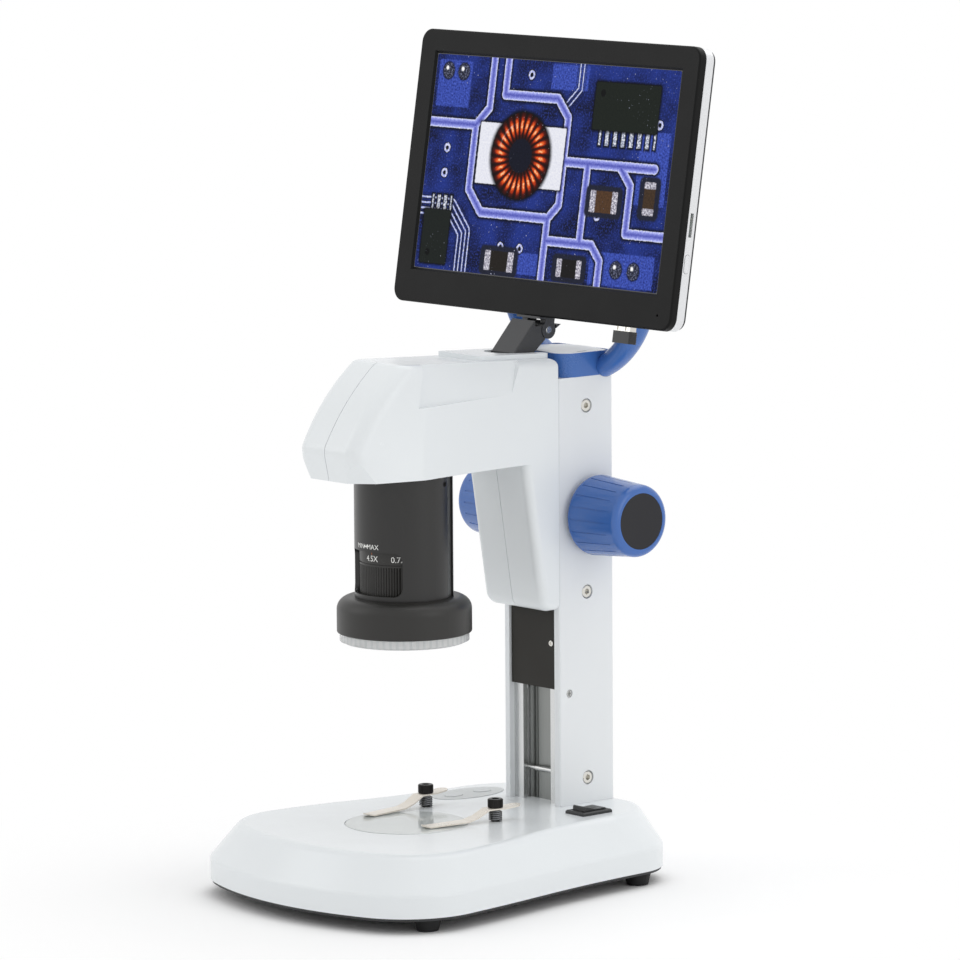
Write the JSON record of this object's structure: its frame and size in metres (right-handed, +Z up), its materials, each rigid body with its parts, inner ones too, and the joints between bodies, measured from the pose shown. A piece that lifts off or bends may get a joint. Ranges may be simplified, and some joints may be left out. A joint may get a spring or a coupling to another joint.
{
  "type": "lcd digital microscope",
  "caption": "Desktop inspection microscope on a track stand, with a zoom lens, ring light, stage clips and a tilting display on top.",
  "frame": {"origin": "on the surface the object stands on, under the middle of the base", "axes": "+X to the object's right, +Y to its rear, +Z up; the display faces -Y"},
  "size_m": [0.23, 0.2338, 0.4624],
  "materials": {
    "base_cover": "satin",
    "bottom_plate": "matte",
    "rubber_feet": "matte",
    "base_screws": "satin",
    "column_bolts": "satin",
    "stage_plate": "frosted",
    "lamp_board": "satin",
    "driver_board": "satin",
    "dc_jack": "matte",
    "control_pad": "matte",
    "switch_housing": "satin",
    "clip_screws": "black oxide",
    "clip_springs": "black oxide",
    "side_plate_right": "satin",
    "side_plate_left": "satin",
    "rear_cover": "satin",
    "column_extrusion": "anodised",
    "guide_rails": "brushed",
    "column_screws": "satin",
    "rail_screws": "satin",
    "stop_rod": "satin",
    "pinion_bushes": "satin",
    "column_cap": "satin",
    "cap_lid": "satin",
    "carry_handle": "satin",
    "carriage": "satin",
    "gear_rack": "satin",
    "head_frame": "cast",
    "frame_screws": "satin",
    "head_shell_right": "satin",
    "head_shell_left": "satin",
    "top_plate": "satin",
    "display_arm": "satin",
    "camera_board": "satin",
    "lens_barrel": "anodised",
    "objective_lens": "polished",
    "zoom_tube": "satin",
    "ring_light_housing": "satin",
    "ring_light_board": "satin",
    "ring_light_cover": "ribbed",
    "zoom_ring": "knurled",
    "pinion_shaft": "satin",
    "focus_knob_right": "gloss",
    "focus_knob_left": "gloss",
    "knob_discs": "satin",
    "stage_clip_right": "satin",
    "stage_clip_left": "satin",
    "power_rocker": "satin",
    "lamp_key_front": "matte",
    "lamp_key_rear": "matte",
    "display_bezel": "satin",
    "display_frame": "satin",
    "display_back": "matte",
    "lcd_panel": "lit screen",
    "display_board": "satin",
    "display_key": "satin",
    "hinge_bracket": "satin",
    "hinge_pin": "satin",
    "dongle_plug": "satin",
    "dongle": "satin"
  },
  "bodies": {
    "stand": {"base_cover": "base_cover", "bottom_plate": "bottom_plate", "rubber_feet": "rubber_feet", "base_screws": "base_screws", "column_bolts": "column_bolts", "stage_plate": "stage_plate", "lamp_board": "lamp_board", "driver_board": "driver_board", "dc_jack": "dc_jack", "control_pad": "control_pad", "switch_housing": "switch_housing", "clip_screws": "clip_screws", "clip_springs": "clip_springs", "side_plate_right": "side_plate_right", "side_plate_left": "side_plate_left", "rear_cover": "rear_cover", "column_extrusion": "column_extrusion", "guide_rails": "guide_rails", "column_screws": "column_screws", "rail_screws": "rail_screws", "stop_rod": "stop_rod", "pinion_bushes": "pinion_bushes", "column_cap": "column_cap", "cap_lid": "cap_lid", "carry_handle": "carry_handle"},
    "head": {"carriage": "carriage", "gear_rack": "gear_rack", "head_frame": "head_frame", "frame_screws": "frame_screws", "head_shell_right": "head_shell_right", "head_shell_left": "head_shell_left", "top_plate": "top_plate", "display_arm": "display_arm", "camera_board": "camera_board", "lens_barrel": "lens_barrel", "objective_lens": "objective_lens", "zoom_tube": "zoom_tube", "ring_light_housing": "ring_light_housing", "ring_light_board": "ring_light_board", "ring_light_cover": "ring_light_cover"},
    "zoom": {"zoom_ring": "zoom_ring"},
    "focus": {"pinion_shaft": "pinion_shaft", "focus_knob_right": "focus_knob_right", "focus_knob_left": "focus_knob_left", "knob_discs": "knob_discs"},
    "display": {"display_bezel": "display_bezel", "display_frame": "display_frame", "display_back": "display_back", "lcd_panel": "lcd_panel", "display_board": "display_board", "hinge_bracket": "hinge_bracket", "hinge_pin": "hinge_pin", "dongle_plug": "dongle_plug", "dongle": "dongle"},
    "display_button": {"display_key": "display_key"},
    "rocker": {"power_rocker": "power_rocker"},
    "key_front": {"lamp_key_front": "lamp_key_front"},
    "key_rear": {"lamp_key_rear": "lamp_key_rear"},
    "clip_right": {"stage_clip_right": "stage_clip_right"},
    "clip_left": {"stage_clip_left": "stage_clip_left"}
  },
  "joints": [
    {"name": "head_slide", "type": "slide", "parent": "stand", "child": "head", "axis": [0, 0, 1], "range_m": [-0.006, 0.044]},
    {"name": "focus_turn", "type": "hinge", "parent": "stand", "child": "focus", "pos_m": [0, 0.0945, 0.2006], "axis": [-1, 0, 0], "range_deg": [-45, 317]},
    {"name": "zoom_turn", "type": "hinge", "parent": "head", "child": "zoom", "pos_m": [0, -0.0225, 0.1816], "axis": [0, 0, 1], "range_deg": [-44, 4]},
    {"name": "display_tilt", "type": "hinge", "parent": "head", "child": "display", "pos_m": [0, 0.075, 0.3032], "axis": [-1, 0, 0], "range_deg": [-10, 10]},
    {"name": "display_key_press", "type": "slide", "parent": "display", "child": "display_button", "axis": [-1, 0, 0], "range_m": [0, 0.0006], "stiffness_N_per_m": 400},
    {"name": "rocker_turn", "type": "hinge", "parent": "stand", "child": "rocker", "pos_m": [0.046, 0.07, 0.039], "axis": [1, 0, 0], "range_deg": [0, 14]},
    {"name": "key_front_press", "type": "slide", "parent": "stand", "child": "key_front", "axis": [0, 0, -1], "range_m": [0, 0.0005], "stiffness_N_per_m": 400},
    {"name": "key_rear_press", "type": "slide", "parent": "stand", "child": "key_rear", "axis": [0, 0, -1], "range_m": [0, 0.0005], "stiffness_N_per_m": 400},
    {"name": "clip_right_turn", "type": "hinge", "parent": "stand", "child": "clip_right", "pos_m": [0.0293, 0.0165, 0.0461], "axis": [0, 0, 1], "range_deg": [-20, 80]},
    {"name": "clip_left_turn", "type": "hinge", "parent": "stand", "child": "clip_left", "pos_m": [-0.0293, 0.0165, 0.0461], "axis": [0, 0, 1], "range_deg": [-80, 28]}
  ],
  "couplings": [
    {"joint": "focus_turn", "follows": "head_slide", "rad_per_m": 125}
  ]
}
